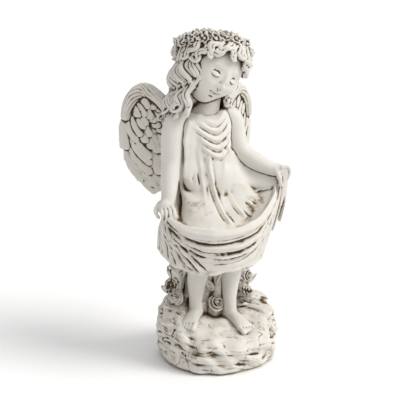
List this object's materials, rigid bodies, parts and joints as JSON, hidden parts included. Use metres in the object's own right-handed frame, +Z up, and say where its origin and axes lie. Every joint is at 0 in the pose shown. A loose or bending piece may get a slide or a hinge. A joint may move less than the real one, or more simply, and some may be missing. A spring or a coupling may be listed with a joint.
{
  "type": "cherub garden statue",
  "caption": "Garden statue of a winged child in a long dress who holds up the skirt like a basin, with a flower wreath, barefoot on a rocky mound.",
  "frame": {"origin": "middle of the flat underside of the mound", "axes": "+Z up, the figure faces -Y, its left hand is on the +X side"},
  "size_m": [0.185, 0.167, 0.4192],
  "materials": {
    "resin": "matt off-white stone-look resin with a brown wash in the hollows"
  },
  "bodies": {
    "root": {"statue": "resin"}
  },
  "joints": []
}
